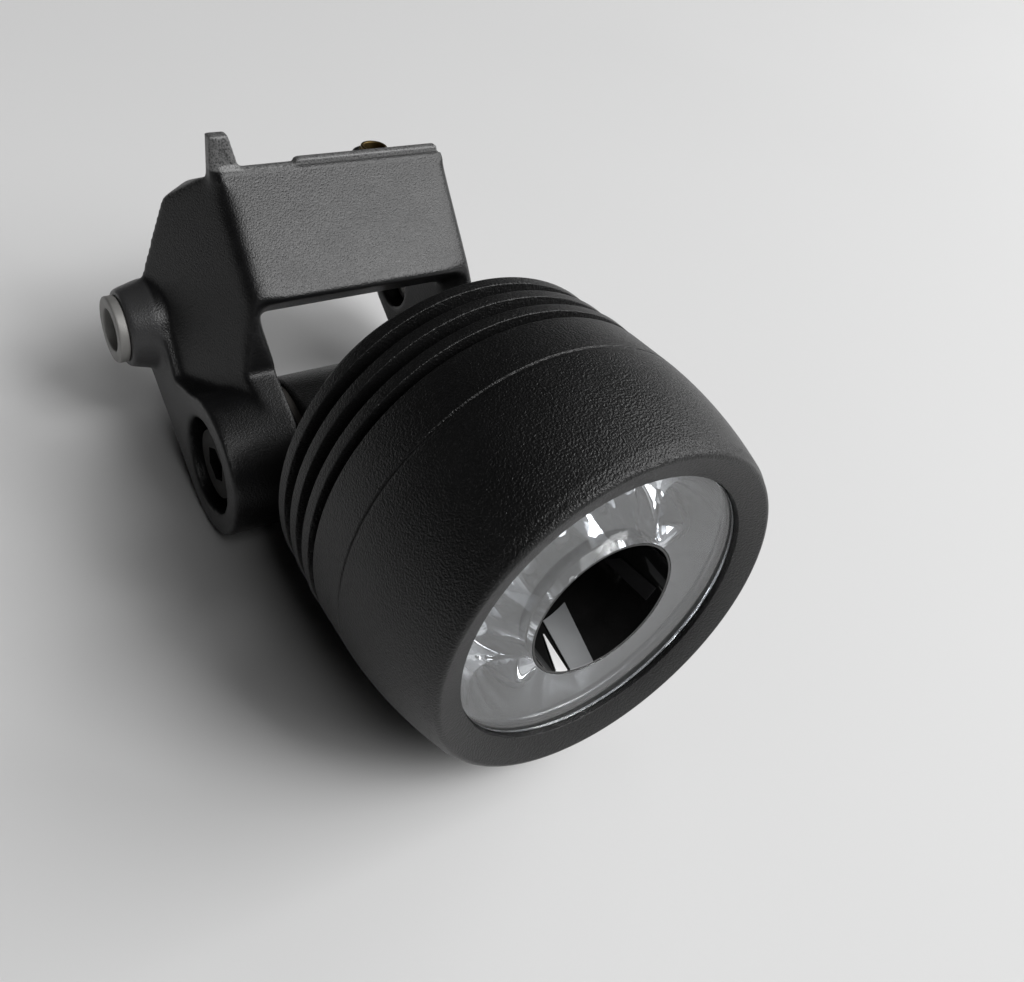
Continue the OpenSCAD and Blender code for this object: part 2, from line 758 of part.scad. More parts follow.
module fork_bracket() {
    insert_y = hood_point(hood_l, 0)[0] + insert_back;
    boss_top = insert_top() - insert_stand - insert_boss_drop;
    boss_foot = insert_top() - insert_l - hood_wall / 2;
    color([0.16, 0.16, 0.17]) difference() {
        union() {
            both_sides() left_arm();
            along_x(-ear_end) cylinder(r1 = boss_r, r2 = ear_r, h = boss_l);
            side_plate(-half_gap - over, half_gap + over) hood_outline();
            top_features();
            translate([insert_x, insert_y, boss_foot])
                cylinder(r = insert_r + insert_boss_wall, h = boss_top - boss_foot);
        }
        both_sides() at_pivot() {
            along_x(-half_fork - over) cylinder(r = recess_r, h = recess_depth + over);
            along_x(-half_fork) cylinder(r = pivot_screw_r + seat_gap, h = half_fork);
        }
        along_x(-ear_end - over) cylinder(r = bush_r + fit_gap, h = 2 * (ear_end + over));
        translate([insert_x, insert_y, insert_top() - insert_l])
            cylinder(r = insert_r + fit_gap, h = insert_l + over);
    }
}

// Steel bush in each ear: the left one has a collar, the right one lies flush
module mount_bushes() {
    color([0.62, 0.63, 0.65]) difference() {
        union() {
            along_x(-bush_end) cylinder(r = bush_collar_r, h = bush_collar_t);
            along_x(-bush_end) cylinder(r = bush_r, h = bush_end - half_gap);
            along_x(half_gap) cylinder(r = bush_r, h = half_fork - half_gap);
        }
        along_x(-bush_end - over) cylinder(r = mount_bore_r, h = bush_end + half_fork + 2 * over);
    }
}

module brass_insert() {
    insert_y = hood_point(hood_l, 0)[0] + insert_back;
    color([0.80, 0.62, 0.25]) translate([insert_x, insert_y, insert_top() - insert_l]) difference() {
        cylinder(r = insert_r, h = insert_l);
        translate([0, 0, -over]) cylinder(r = insert_bore_r, h = insert_l + 2 * over);
    }
}

front_bezel();
rear_housing();
lens();
lens_gasket();
lens_retainer();
core_tube();
seam_seal();
led_chips();
led_board();
heat_spreader();
board_screws();
driver_board();
driver_screws();
driver_coil();
driver_capacitors();
driver_chips();
link_pins();
cable_gland();
pivot_sleeve();
friction_rings();
pivot_screw();
pivot_nut();
pivot_washers();
fork_bracket();
mount_bushes();
brass_insert();
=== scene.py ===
"""Looks of a round bicycle headlight on a forked bracket, made round its packed solids."""
import json
import math

import bmesh
import bpy
import numpy as np
from bpy.props import FloatProperty, FloatVectorProperty, IntProperty, PointerProperty
from mathutils import Matrix, Vector

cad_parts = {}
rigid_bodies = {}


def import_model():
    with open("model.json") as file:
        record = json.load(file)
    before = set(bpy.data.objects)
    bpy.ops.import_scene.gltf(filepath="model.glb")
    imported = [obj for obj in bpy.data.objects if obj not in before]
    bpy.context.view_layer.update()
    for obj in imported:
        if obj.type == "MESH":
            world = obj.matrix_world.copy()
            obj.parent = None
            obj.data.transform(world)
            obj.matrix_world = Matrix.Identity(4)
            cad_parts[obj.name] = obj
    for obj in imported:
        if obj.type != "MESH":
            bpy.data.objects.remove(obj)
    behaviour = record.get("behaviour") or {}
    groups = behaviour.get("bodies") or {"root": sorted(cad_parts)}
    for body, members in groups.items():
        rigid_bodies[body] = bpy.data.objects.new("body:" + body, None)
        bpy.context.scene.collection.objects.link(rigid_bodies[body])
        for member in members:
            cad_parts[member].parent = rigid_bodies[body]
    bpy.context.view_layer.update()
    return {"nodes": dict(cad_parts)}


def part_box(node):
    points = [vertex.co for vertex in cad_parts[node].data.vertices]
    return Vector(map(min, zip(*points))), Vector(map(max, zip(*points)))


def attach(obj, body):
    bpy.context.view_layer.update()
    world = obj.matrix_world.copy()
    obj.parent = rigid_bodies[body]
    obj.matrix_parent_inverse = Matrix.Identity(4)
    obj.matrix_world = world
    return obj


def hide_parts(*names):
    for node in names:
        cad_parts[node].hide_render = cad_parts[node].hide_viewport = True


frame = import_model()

bl_info = {
    "name": "Bicycle headlight",
    "version": (1, 0, 0),
    "blender": (4, 5, 0),
    "location": "View3D > Sidebar > Headlight",
    "description": "Builds the visible pieces of a bicycle headlight round its solids",
    "category": "Object",
}

MM = 0.001
TURN = 2 * math.pi
TINY = 1e-9

# Places that the solids give
FACE_LOW, FACE_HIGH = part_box("front_bezel")
FACE_Y = FACE_LOW.y
BODY_R = (FACE_HIGH.x - FACE_LOW.x) / 2
BEAM_Z = (FACE_HIGH.z + FACE_LOW.z) / 2
SEAM = FACE_HIGH.y - FACE_Y
SCREW_LOW, SCREW_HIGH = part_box("pivot_screw")
PIVOT_Y = (SCREW_LOW.y + SCREW_HIGH.y) / 2
PIVOT_Z = (SCREW_LOW.z + SCREW_HIGH.z) / 2
BUSH_LOW, BUSH_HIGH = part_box("mount_bushes")
ARM_X = BUSH_HIGH.x
INSERT_LOW, INSERT_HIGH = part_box("brass_insert")

# The camera that the photograph was taken with, in the frame of the solids
CAMERA_PLACE = (-0.055355, -0.111908, 0.071549)
CAMERA_RIGHT = Vector((0.819991, -0.550762, 0.155807))
CAMERA_FORWARD = Vector((0.512005, 0.584121, -0.629805))
CAMERA_LENS = 36.035

# The floor that the lamp lies on: its upward direction, how far the lamp reaches down below the
# cross bolt in that direction, the gap under the lamp, and half the floor's side in metres
FLOOR_UP = (0, -0.137, 0.991)
LAMP_DROP = 14.79 * MM
FLOOR_GAP = 0.5 * MM
FLOOR_HALF = 2.0

# The pale surroundings, and how much of them shows in reflections and through clear pieces
WORLD_TONE = (0.62, 0.62, 0.63, 1)
WORLD_SHARES = {"Is Glossy Ray": 0.05, "Is Transmission Ray": 0.6}

# Square lights: direction from the middle of the part, side in metres and power in watts
LIGHT_TARGET = (0, -35 * MM, 0)
LIGHT_DISTANCE = 1.3
LIGHTS = {
    "window": ((0.36, -0.60, 0.72), 0.5, 6.6),
    "window_right": ((0.73, -0.30, 0.61), 0.7, 7.2),
    "window_left": ((-0.02, -0.67, 0.74), 0.6, 2.8),
    "window_side": ((0.90, 0.08, 0.43), 0.5, 2.9),
    "window_low": ((0.42, -0.74, 0.52), 0.5, 4.4),
    "window_back": ((0.51, 0.25, 0.82), 0.4, 0.6),
}

# Painted reflections: strips paler than the dark cup, on its wall, that stand in for bright
# reflections in it. Colour, and four corners as an angle in degrees and a depth in millimetres.
# Depth 0 stands for the cup's rim
PAINTED_REFLECTION_STRIPS = {
    "painted_reflection_bar": ((0.21, 0.215, 0.22), ((-106, 0), (-84, 0), (-70, 9.5), (-95, 8.6))),
    "painted_reflection_wedge": ((0.75, 0.75, 0.74), ((-122, 0), (-109, 0), (-103, 6.9), (-104, 6.9))),
    "faint_painted_reflection": ((0.02, 0.02, 0.021), ((-22, 2.9), (-8, 2.6), (-12, 8.0), (-24, 9.8))),
}


def length(name, default, words):
    """A size in metres, given in millimetres."""
    return FloatProperty(name=name, description=words, default=default * MM, min=0.0,
                         unit="LENGTH", precision=5)


def tone(name, default, words):
    """A colour that a finish starts from."""
    return FloatVectorProperty(name=name, description=words, default=default, size=3,
                               subtype="COLOR", min=0.0, max=1.0)


class HeadSizes(bpy.types.PropertyGroup):
    """Sizes of the lamp's round body"""
    face_r: length("Face radius", 20, "Radius of the front face")
    face_round: length("Face round", 0.7, "Round between the front face and the shoulder")
    window_r: length("Window radius", 16.6, "Radius of the round window")
    window_round: length("Window round", 0.1, "Round of the window's front edge")
    face_dish: length("Face dish", 1.05, "Depth of the face's shallow funnel at the window")
    lens_set: length("Optic depth", 1.67, "Depth of the optic behind the front face")
    lip_depth: length("Lip depth", 2, "Depth of the rear of the bezel's lip")
    bezel_bore_r: length("Bezel bore", 18.35, "Inner radius of the bezel")
    cavity_r: length("Cavity radius", 18.2, "Inner radius of the housing")
    band: length("Band", 5.6, "Smooth band between the seam and the first groove")
    band_rise: length("Band rise", 0.05, "How far the band's end stands above the first rib")
    first_groove: length("First groove", 1.3, "Width of the first cooling groove")
    groove: length("Groove", 2, "Width of each later cooling groove")
    rib_w: length("Rib width", 1.35, "Width of each cooling rib")
    ribs: IntProperty(name="Ribs", description="Number of cooling ribs", default=3, min=1)
    rib_r: length("Rib radius", 22.1, "Radius of the first rib")
    rib_fall: length("Rib fall", 0.3, "How much smaller each rib is than the one before")
    rib_root: length("Rib root", 0.4, "How far each rib reaches into the floor of the grooves")
    groove_depth: length("Groove depth", 2.2, "Depth of the cooling grooves")
    tail: length("Tail", 4.5, "Length of the plain end behind the last rib")
    tail_r: length("Tail radius", 18.6, "Radius of the plain end")
    tail_round: length("Tail round", 3.2, "Round of the housing's back edge")
    wall: length("Back wall", 2.5, "Thickness of the back wall")
    edge: length("Edge round", 0.16, "Small round on turned edges")
    rib_edge: length("Rib edge", 0.1, "Round on the edges of the cooling ribs")


class PivotSizes(bpy.types.PropertyGroup):
    """Sizes of the tilt pivot and of the steel bushes"""
    barrel_r: length("Barrel radius", 8.65, "Radius of the pivot barrel")
    lug_half: length("Lug half width", 11.65, "Half width of the housing's lug")
    lug_round: length("Lug round", 0.5, "Round of the lug's rims")
    neck_rise: length("Neck rise", 5.8, "Height of the neck's root above the barrel's foot")
    sleeve_r: length("Sleeve bore", 4.05, "Radius of the bore through the lug")
    bush_r: length("Bush radius", 3.4, "Outer radius of each bush")
    bush_bore: length("Bush bore", 2.6, "Radius of the hole in each bush")
    collar_t: length("Collar", 1.2, "Thickness of the left bush's collar")
    gap_half: length("Half gap", 12.5, "Half the clear width between the arms")
    bush_in: length("Bush recess", 2.5, "How far the right bush stays inside its ear")
    bush_round: length("Bush round", 0.15, "Small round on the edges of the bushes")


class InsertSizes(bpy.types.PropertyGroup):
    """Sizes of the brass insert"""
    bore_r: length("Insert bore", 1.25, "Radius of the insert's hole")
    bore_round: length("Bore round", 0.3, "Round of the hole's upper edge")
    foot_round: length("Foot round", 0.1, "Round of the insert's lower edges")
    knurl: length("Knurl", 0.15, "Depth of the knurl, and round of the outer upper edge")
    ridge_r: length("Ridge radius", 0.24, "Radius of each three-sided ridge of the knurl")
    ridge_inset: length("Ridge inset", 0.3, "How far the ridges stop short of either end")
    ridges: IntProperty(name="Ridges", description="Number of ridges", default=22, min=3)


class BracketSizes(bpy.types.PropertyGroup):
    """How the moulded bracket is softened"""
    voxel: length("Voxel", 0.3, "Size of the cells that the bracket is rebuilt from")
    soft_rounds: IntProperty(name="Soft rounds", description="Passes that round the edges",
                             default=10, min=0)
    crest_drop: length("Crest drop", 5, "How far the hood's crest lies below the tab's end")
    bend_rounds: IntProperty(name="Bend rounds", default=60, min=0,
                             description="Passes that round the bend beside the hood")
    bend_x: length("Bend place", 14.4, "Distance of the bend from the middle")
    bend_w: length("Bend width", 3.2, "Reach of the rounding on either side of the bend")
    bend_foot: length("Bend foot", 3, "Height where the rounding starts. It is full at twice this")
    bend_front: length("Bend front", 4, "How far in front of the cross bolt the rounding ends")


class OpticSizes(bpy.types.PropertyGroup):
    """Sizes of the clear optic, the bowls behind it and the dark cup in its middle"""
    hole_r: length("Hole radius", 8.36, "Radius of the hole in the optic")
    hole_round: length("Hole round", 0.12, "Round of the front edge at the hole")
    outer_r: length("Outer radius", 16.5, "Radius of the optic's clear front")
    outer_round: length("Outer round", 0.05, "Round of the front edge at the window")
    flange_r: length("Flange radius", 18.2, "Radius of the optic's flange")
    flange_front: length("Flange front", 2.6, "Depth of the front of the flange")
    flange_round: length("Flange round", 0.1, "Round of the flange's edges")
    plate_back: length("Plate back", 4.6, "Depth of the rear of the optic's front plate")
    fit: length("Fit", 0.05, "Clearance between the clear front and what lies behind it")
    bowls: IntProperty(name="Bowls", description="Number of polished bowls", default=6, min=1)
    bowl_ring_r: length("Bowl ring", 12.3, "Radius of the ring on which the bowls lie")
    bowl_depth: length("Bowl depth", 6.5, "Depth of each bowl behind the front plate")
    bowl_wall: length("Bowl wall", 0.5, "Thickness of the bowls")
    dome_r: length("Dome radius", 2.6, "Radius of the dome in the middle of each bowl")
    dome_rise: length("Dome rise", 4, "Height of the dome in the middle of each bowl")
    step_rise: length("Step", 0.5, "Height of the steps round each dome")
    flats: IntProperty(name="Flats", description="Flat strips in the wall of each bowl", default=6,
                       min=2)
    first_bowl: FloatProperty(name="First bowl", description="Angle of the first bowl",
                              default=math.radians(10), subtype="ANGLE")
    smooth_w: length("Smooth width", 1.5, "Distance beyond the bowls' ring where creases end")
    satin_w: length("Satin width", 2.2, "Width of the fully satin strip at the outer wall")
    cup_floor: length("Cup floor", 12.87, "Depth of the dark floor in the middle")
    cup_wall: length("Cup wall", 0.25, "Wall of the dark cup in the middle")
    cup_slip: length("Cup slip", 0.02, "Clearance on either side of the cup's wall")
    cup_rim_round: length("Cup rim round", 0.05, "Round of the cup's rim")
    cup_foot_round: length("Cup foot round", 0.2, "Round of the cup's outer foot")
    cup_floor_round: length("Cup floor round", 0.6, "Round between the cup's wall and floor")
    stem_end: length("Stem end", 16.5, "Depth of the rear end of the cup's stem")
    # The strips are pale panels painted in the dark cup as reflections
    strip_t: length("Strip thickness", 0.12, "Thickness of the light strips in the cup")


class Finishes(bpy.types.PropertyGroup):
    """Colours that the finishes start from"""
    anodised: tone("Anodised black", (0.005, 0.005, 0.0051), "Body and bezel")
    polymer: tone("Bracket plastic", (0.0045, 0.0045, 0.0048), "Moulded bracket")
    core: tone("Core black", (0.007, 0.007, 0.007), "Gloss black middle of the optic")
    rubber: tone("Rubber", (0.012, 0.012, 0.012), "Gasket, seal and gland")
    steel: tone("Steel", (0.56, 0.55, 0.53), "Bushes, screws and washers")
    brass: tone("Brass", (0.72, 0.50, 0.20), "Insert and pins")
    floor: tone("Floor", (0.75, 0.75, 0.75), "Floor and backdrop")


# Shader expressions


def add_node(tree, kind, settings=(), sockets=()):
    """Adds a node, sets it up, and fills its sockets with values or with other nodes' outputs."""
    made = tree.nodes.new(kind)
    for key, value in dict(settings).items():
        setattr(made, key, value)
    for key, value in dict(sockets).items():
        if isinstance(value, bpy.types.NodeSocket):
            tree.links.new(value, made.inputs[key])
        else:
            made.inputs[key].default_value = value
    return made


class Signal:
    """A shader socket that takes part in sums, products and comparisons."""

    def __init__(self, finish, socket):
        self.finish, self.socket = finish, socket

    def _maths(self, operation, first, second):
        return self.finish.node("ShaderNodeMath", {"operation": operation}, {0: first, 1: second})

    def __add__(self, other):
        return self._maths("ADD", self, other)

    def __sub__(self, other):
        return self._maths("SUBTRACT", self, other)

    def __mul__(self, other):
        return self._maths("MULTIPLY", self, other)

    def __pow__(self, other):
        return self._maths("POWER", self, other)

    def __gt__(self, other):
        return self._maths("GREATER_THAN", self, other)


class Finish:
    """A material whose maths is written as Python expressions."""

    def __init__(self, name):
        self.material = bpy.data.materials.new(name)
        self.material.use_nodes = True
        self.tree = self.material.node_tree
        self.tree.nodes.clear()
        self.place = self.node("ShaderNodeTexCoord", out="Object")

    def node(self, kind, settings=(), sockets=(), out=0):
        plain = {key: value.socket if isinstance(value, Signal) else value
                 for key, value in dict(sockets).items()}
        return Signal(self, add_node(self.tree, kind, settings, plain).outputs[out])

    def axis(self, index):
        """Where a point lies along X, Y or Z."""
        return self.node("ShaderNodeSeparateXYZ", (), {"Vector": self.place}, out=index)

    def noise(self, size, detail=2.0, rough=0.5, stretch=(1, 1, 1)):
        """Noise whose features are about this size in metres, from 0 to 1."""
        place = self.node("ShaderNodeMapping", (), {"Vector": self.place, "Scale": stretch})
        return self.node("ShaderNodeTexNoise", (), {
            "Vector": place, "Scale": 1 / size, "Detail": detail, "Roughness": rough})

    def cells(self, size, feature="F1"):
        """Distance from the middle of the nearest cell, or from its edge."""
        return self.node("ShaderNodeTexVoronoi", {"feature": feature},
                         {"Vector": self.place, "Scale": 1 / size})

    def span(self, value, low, high, first=0.0, last=1.0):
        """Value mapped from one range to another and held inside it."""
        return self.node("ShaderNodeMapRange", {"clamp": True},
                         {0: value, 1: low, 2: high, 3: first, 4: last})

    def colour(self, share, first, second):
        """A colour between two others."""
        a, b = [(*c, 1.0) if isinstance(c, tuple) else c for c in (first, second)]
        return self.node("ShaderNodeMix", {"data_type": "RGBA"}, {0: share, 6: a, 7: b}, out=2)

    def bump(self, height, depth, strength=1.0):
        return self.node("ShaderNodeBump", (),
                         {"Height": height, "Distance": depth, "Strength": strength})

    def surface(self, **sockets):
        """Ends the tree in one shader. Socket names have their spaces as underscores."""
        named = {key.replace("_", " "): value for key, value in sockets.items()}
        shader = self.node("ShaderNodeBsdfPrincipled", (), named)
        add_node(self.tree, "ShaderNodeOutputMaterial", (), {"Surface": shader.socket})
        return self.material


def shade(colour, factor):
    """A colour made lighter or darker."""
    return tuple(min(1.0, c * factor) for c in colour)


def anodised_finish():
    """Black anodised aluminium over a fine blasted grain, with specks of paler dust."""
    f = Finish("anodised_black")
    base = tuple(bpy.context.scene.lamp_finishes.anodised)
    grain = f.noise(0.21 * MM, 1.5, 0.4)
    fine = f.noise(0.1 * MM, 1.0)
    cloud = f.noise(9 * MM, 3.0)
    dust = f.span(f.cells(1.9 * MM), 0.0, 0.035, 1.0, 0.0) * (f.noise(5 * MM) > 0.56)
    tint = f.colour(f.span(cloud, 0.3, 0.7), base, shade(base, 1.7))
    return f.surface(
        Base_Color=f.colour(dust, tint, (0.35, 0.35, 0.34)),
        Roughness=f.span(fine + cloud * 0.6, 0.4, 1.2, 0.30, 0.41),
        Normal=f.bump(grain + fine * 0.4, 0.11 * MM), Specular_IOR_Level=0.40)


def polymer_finish(crest):
    """Dark glass-filled plastic with a moulded grain, with painted light on its outer sides and a
    painted highlight above the crest.
    """
    f = Finish("bracket_plastic")
    # Tones of the painted light on the outer sides, of the painted highlight above the crest, and
    # of dust specks
    painted_light_side, painted_highlight_tone, specks = (0.045, 0.045, 0.046), (0.20, 0.20, 0.20), (0.30, 0.30, 0.29)
    skin, painted_highlight_start, painted_highlight_end = 0.4 * MM, 0.95 * MM, 1.15 * MM
    base = tuple(bpy.context.scene.lamp_finishes.polymer)
    grain = f.noise(0.2 * MM, 1.5, 0.5)
    x, z = f.axis(0), f.axis(2)
    # Painted light: the outer sides of the arms and bosses are made paler, standing in for light
    # that falls on them
    side = f.span(x * x, (ARM_X - skin) ** 2, ARM_X ** 2)
    # Painted highlight: the tab and stop above the crest are made paler, broken up by the grain
    painted_highlight_share = f.span(z, crest + painted_highlight_start, crest + painted_highlight_end, 0.0, 0.8) * f.span(grain, 0.2, 0.6)
    flow = f.noise(6 * MM, 3.0, 0.55, (1, 1, 2.5))
    dust = f.span(f.cells(2.3 * MM), 0.0, 0.03, 1.0, 0.0) * (f.noise(6 * MM) > 0.57)
    tint = f.colour(f.span(flow, 0.3, 0.7), base, shade(base, 1.6))
    tint = f.colour(painted_highlight_share, f.colour(side, tint, painted_light_side), painted_highlight_tone)
    return f.surface(
        Base_Color=f.colour(dust, tint, specks),
        Roughness=f.span(grain + flow * 0.5, 0.45, 1.05, 0.31, 0.44),
        Normal=f.bump(grain, 0.05 * MM), Specular_IOR_Level=0.48)


def clear_finish():
    """Polished clear plastic, whose faint tint hardly varies."""
    f = Finish("clear_optic")
    waves = f.noise(2.5 * MM, 1.0)
    return f.surface(
        Base_Color=f.colour(waves, (0.92, 0.94, 0.95), (0.95, 0.96, 0.97)), Roughness=0.0,
        Transmission_Weight=0.962, IOR=1.49)


def facet_finish(polished_r, satin_r):
    """Bright moulded faces behind the clear front, satin towards their outer wall."""
    f = Finish("polished_facets")
    dull, shiny, satin = (0.26, 0.27, 0.29), (0.82, 0.83, 0.85), (0.085, 0.088, 0.092)
    x, up = f.axis(0), f.axis(2) - BEAM_Z
    reach = (x * x + up * up) ** 0.5
    waves = f.noise(3 * MM, 2.0)
    bright = f.colour(f.span(waves, 0.4, 0.55), dull, shiny)
    outer = f.span(reach, polished_r, satin_r)
    return f.surface(
        Base_Color=f.colour(outer, bright, satin), Metallic=1.0,
        Roughness=f.span(outer, 0.0, 1.0, 0.03, 0.5),
        Normal=f.bump(waves, 0.02 * MM, 0.3))


def gloss_finish(name, base, rough, flow_size):
    """Smooth moulded plastic with a faint flow pattern."""
    f = Finish(name)
    flow = f.noise(flow_size, 3.0)
    return f.surface(
        Base_Color=f.colour(f.span(flow, 0.3, 0.7), base, shade(base, 1.5)),
        Roughness=f.span(flow, 0.2, 0.8, rough, rough + 0.06),
        Normal=f.bump(flow, 0.01 * MM, 0.2))


def matt_finish(name, base, rough):
    """Matt rubber, fibre or moulded plastic."""
    f = Finish(name)
    fine = f.noise(0.25 * MM, 3.0, 0.6)
    return f.surface(
        Base_Color=f.colour(f.span(fine, 0.3, 0.7), shade(base, 0.75), shade(base, 1.3)),
        Roughness=f.span(fine, 0.2, 0.8, rough - 0.08, rough + 0.08),
        Normal=f.bump(fine, 0.02 * MM, 0.4))


def metal_finish(name, base, rough, stretch=(1, 1, 1), metallic=1.0):
    """Turned or plated metal with fine tool marks and darker stains."""
    f = Finish(name)
    marks = f.noise(0.12 * MM, 3.0, 0.6, stretch)
    stain = f.noise(2.2 * MM, 3.0)
    tint = f.colour(f.span(stain, 0.35, 0.75), base, shade(base, 0.75))
    return f.surface(
        Base_Color=f.colour(f.span(marks, 0.3, 0.7, 0.0, 0.35), tint, shade(base, 0.55)),
        Roughness=f.span(marks + stain * 0.5, 0.4, 1.1, rough - 0.06, rough + 0.12),
        Metallic=metallic, Normal=f.bump(marks, 0.012 * MM, 0.4))


def board_finish(name, base, bare):
    """Solder mask over copper tracks, with bare pads."""
    f = Finish(name)
    tracks = f.span(f.cells(2.4 * MM, "DISTANCE_TO_EDGE"), 0.03, 0.05, 1.0, 0.0)
    pads = f.span(f.cells(3.1 * MM), 0.12, 0.14, 1.0, 0.0)
    masked = f.colour(tracks, base, shade(base, 1.9))
    return f.surface(
        Base_Color=f.colour(pads, masked, bare), Metallic=pads * 0.9,
        Roughness=f.span(pads, 0.0, 1.0, 0.35, 0.25), Normal=f.bump(tracks, 0.03 * MM, 0.5))


def diode_finish():
    """Yellow phosphor square in a pale package, which isn't lit."""
    f = Finish("diode_phosphor")
    fine = f.noise(0.3 * MM, 3.0)
    return f.surface(
        Base_Color=f.colour(fine, (0.80, 0.58, 0.10), (0.90, 0.75, 0.28)),
        Roughness=f.span(fine, 0.2, 0.8, 0.45, 0.65), Normal=f.bump(fine, 0.02 * MM, 0.4))


# Mesh helpers


def on_beam(r, angle, depth):
    """A point at a radius and angle round the beam, back from the front face."""
    return Vector((r * math.cos(angle), FACE_Y + depth, BEAM_Z + r * math.sin(angle)))


def on_cross(y, z):
    """Makes the place function of a shape turned about an axis along X."""
    return lambda r, angle, along: Vector((along, y + r * math.cos(angle), z + r * math.sin(angle)))


def on_upright(x, y):
    """Makes the place function of a shape turned about an upright axis."""
    return lambda r, angle, along: Vector((x + r * math.cos(angle), y + r * math.sin(angle), along))


def softened(points, radii, steps=4):
    """A closed outline whose corners are rounded, each by its own radius."""
    out = []
    for i, (corner, radius) in enumerate(zip(points, radii)):
        here = Vector(corner)
        before, after = Vector(points[i - 1]) - here, Vector(points[(i + 1) % len(points)]) - here
        reach = min(radius, 0.49 * before.length, 0.49 * after.length)
        if reach < TINY:
            out.append(here)
            continue
        first, last = here + before.normalized() * reach, here + after.normalized() * reach
        for k in range(steps + 1):
            t = k / steps
            out.append(first * (1 - t) ** 2 + here * 2 * t * (1 - t) + last * t ** 2)
    return out


def add_turned(bm, profile, place=on_beam, steps=160):
    """Adds a closed outline of (radius, along) points, turned about its axis."""
    rings = []
    for r, along in profile:
        if r < TINY:
            rings.append([bm.verts.new(place(0, 0, along))] * steps)
        else:
            rings.append([bm.verts.new(place(r, TURN * k / steps, along)) for k in range(steps)])
    for i, ring in enumerate(rings):
        after = rings[(i + 1) % len(rings)]
        for k in range(steps):
            m = (k + 1) % steps
            corners = []
            for v in (ring[k], ring[m], after[m], after[k]):
                if v not in corners:
                    corners.append(v)
            if len(corners) > 2:
                bm.faces.new(corners)


def as_object(bm, name, material=None, sharp=32):
    """Ends a mesh under construction as an object at the origin."""
    bmesh.ops.recalc_face_normals(bm, faces=bm.faces)
    mesh = bpy.data.meshes.new(name)
    bm.to_mesh(mesh)
    bm.free()
    return shown(mesh, name, material, sharp)


def shown(mesh, name, material, sharp):
    """Puts a mesh in the scene with smooth faces and sharp edges past an angle."""
    mesh.shade_smooth()
    if sharp < 180:
        mesh.set_sharp_from_angle(angle=math.radians(sharp))
    if material:
        mesh.materials.clear()
        mesh.materials.append(material)
    made = bpy.data.objects.new(name, mesh)
    bpy.context.scene.collection.objects.link(made)
    return made


def baked(source, name, material, sharp=32):
    """The plain mesh of an object and its modifiers. The source is removed."""
    bpy.context.view_layer.update()
    ready = source.evaluated_get(bpy.context.evaluated_depsgraph_get())
    mesh = bpy.data.meshes.new_from_object(ready)
    mesh.name = name
    bpy.data.objects.remove(source)
    return shown(mesh, name, material, sharp)


def combined(base, other, operation, name, material):
    """Boolean of two objects, which are both used up."""
    step = base.modifiers.new("combine", "BOOLEAN")
    step.operation, step.object, step.solver = operation, other, "EXACT"
    made = baked(base, name, material)
    bpy.data.objects.remove(other)
    return made


def settle(piece, body, slot, *nodes):
    """Rides a finished piece on its body, in place of the CAD nodes that are named."""
    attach(piece, body)
    if nodes:
        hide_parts(*nodes)


def dress(material, *nodes):
    """Gives CAD nodes that stay as they are a finish."""
    for node in nodes:
        mesh = frame["nodes"][node].data
        mesh.materials.clear()
        mesh.materials.append(material)


class NodeTree:
    """A geometry node group under construction."""

    def __init__(self, name, **inputs):
        self.group = bpy.data.node_groups.new(name, "GeometryNodeTree")
        face = self.group.interface
        face.new_socket("Geometry", in_out="INPUT", socket_type="NodeSocketGeometry")
        face.new_socket("Geometry", in_out="OUTPUT", socket_type="NodeSocketGeometry")
        self.ids = {}
        for key, (kind, value) in inputs.items():
            socket = face.new_socket(key, in_out="INPUT", socket_type=kind)
            if kind != "NodeSocketMaterial":
                socket.default_value = value
            self.ids[key] = (socket.identifier, value)
        self.start = self.group.nodes.new("NodeGroupInput")
        self.end = self.group.nodes.new("NodeGroupOutput")

    def node(self, kind, settings=(), sockets=()):
        return add_node(self.group, kind, settings, sockets).outputs[0]

    def maths(self, operation, first, second):
        return self.node("ShaderNodeMath", {"operation": operation}, {0: first, 1: second})

    def given(self, key):
        return self.start.outputs[key]

    def finish_on(self, target, instances):
        """Ends the tree in real geometry with its material, and puts it on an object."""
        real = self.node("GeometryNodeRealizeInstances", (), {0: instances})
        done = self.node("GeometryNodeSetMaterial", (),
                         {"Geometry": real, "Material": self.given("Material")})
        self.group.links.new(done, self.end.inputs[0])
        step = target.modifiers.new("repeat", "NODES")
        step.node_group = self.group
        for identifier, value in self.ids.values():
            step[identifier] = value
        target.update_tag()
        return target


def blank(name):
    """An object with an empty mesh, for a geometry node tree to fill."""
    made = bpy.data.objects.new(name, bpy.data.meshes.new(name))
    bpy.context.scene.collection.objects.link(made)
    return made


# Pieces


